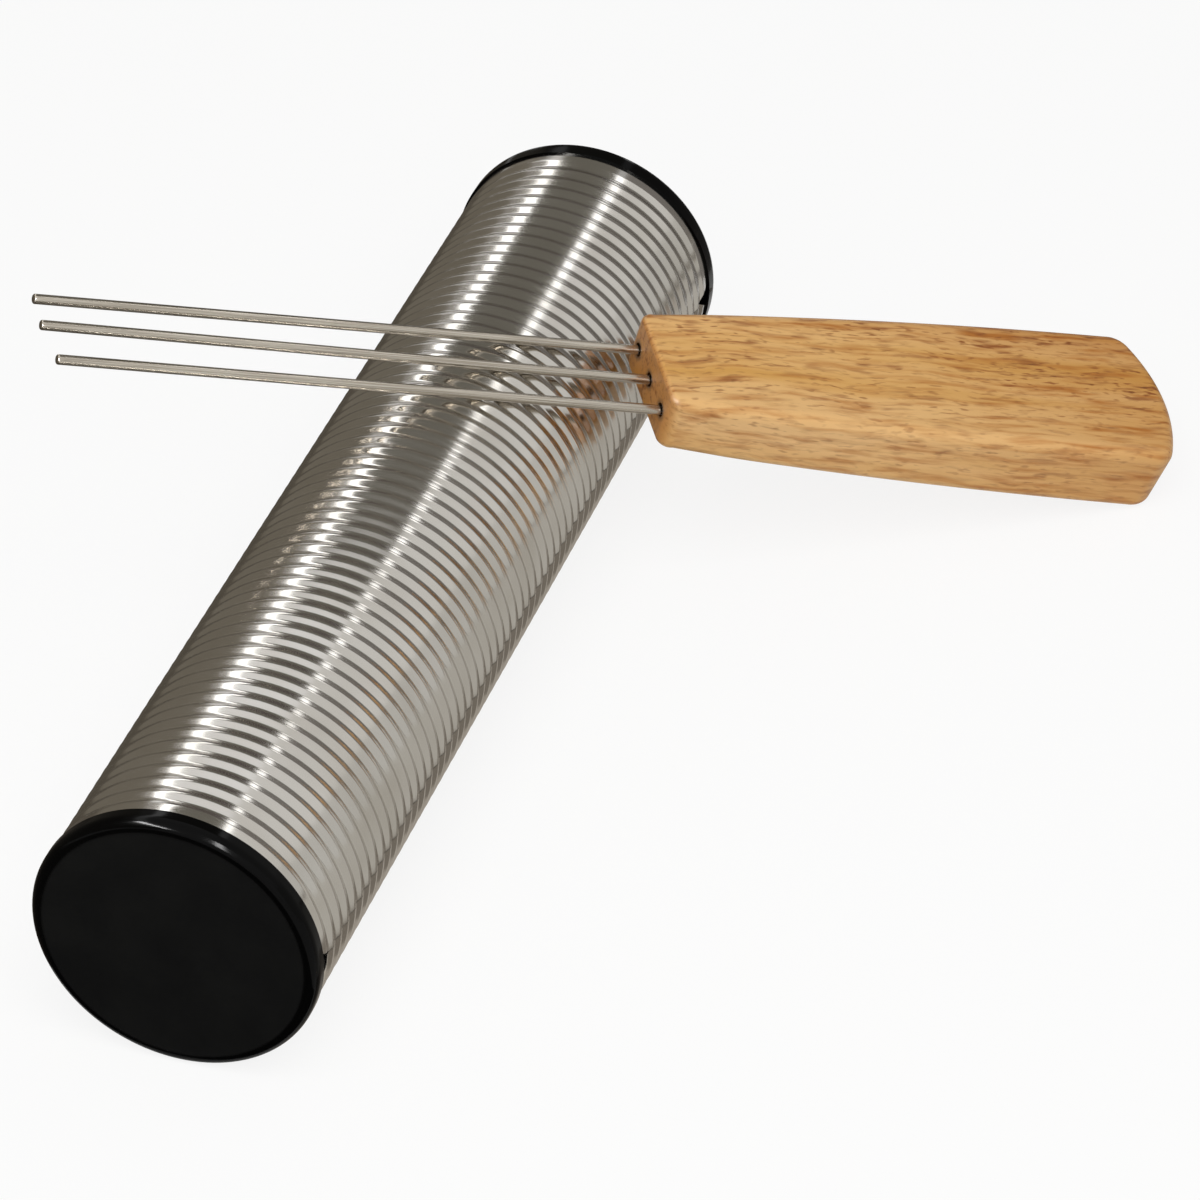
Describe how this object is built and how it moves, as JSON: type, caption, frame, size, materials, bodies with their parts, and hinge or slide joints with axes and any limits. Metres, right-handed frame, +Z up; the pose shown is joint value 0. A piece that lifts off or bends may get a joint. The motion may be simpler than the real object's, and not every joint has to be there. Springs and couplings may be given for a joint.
{
  "type": "guiro shaker",
  "caption": "Ribbed steel tube closed by black push-in caps, with loose shot to shake, and a wooden-handled wire scraper that leans across it to be drawn along the ribs.",
  "frame": {"origin": "on the table, under the tube's axis and the middle of its sheet", "axes": "+Z up, +Y along the tube from the front cap to the rear cap, +X towards the side where the scraper's handle rests"},
  "size_m": [0.2167, 0.2785, 0.0956],
  "materials": {
    "polished_sheet": "rolled and polished",
    "cap_plastic": "moulded, satin face and glossy rim",
    "shot_steel": "tumbled",
    "handle_wood": "clear lacquer",
    "tine_wire": "drawn wire"
  },
  "bodies": {
    "tube": {"ribbed_tube": "polished_sheet", "front_cap": "cap_plastic", "rear_cap": "cap_plastic"},
    "scraper": {"scraper_handle": "handle_wood", "tine_far": "tine_wire", "tine_middle": "tine_wire", "tine_near": "tine_wire"},
    "shot_1": {"shot_lane_1": "shot_steel"},
    "shot_2": {"shot_lane_2": "shot_steel"},
    "shot_3": {"shot_lane_3": "shot_steel"},
    "shot_4": {"shot_lane_4": "shot_steel"},
    "shot_5": {"shot_lane_5": "shot_steel"}
  },
  "joints": [
    {"name": "scrape_stroke", "type": "slide", "parent": "tube", "child": "scraper", "axis": [0, 1, 0], "range_m": [-0.15, 0.066]},
    {"name": "shot_run_1", "type": "slide", "parent": "tube", "child": "shot_1", "axis": [0, 1, 0], "range_m": [-0.0915, 0.1075]},
    {"name": "shot_run_2", "type": "slide", "parent": "tube", "child": "shot_2", "axis": [0, 1, 0], "range_m": [-0.1075, 0.0915]},
    {"name": "shot_run_3", "type": "slide", "parent": "tube", "child": "shot_3", "axis": [0, 1, 0], "range_m": [-0.0915, 0.1075]},
    {"name": "shot_run_4", "type": "slide", "parent": "tube", "child": "shot_4", "axis": [0, 1, 0], "range_m": [-0.1075, 0.0915]},
    {"name": "shot_run_5", "type": "slide", "parent": "tube", "child": "shot_5", "axis": [0, 1, 0], "range_m": [-0.0915, 0.1075]}
  ]
}
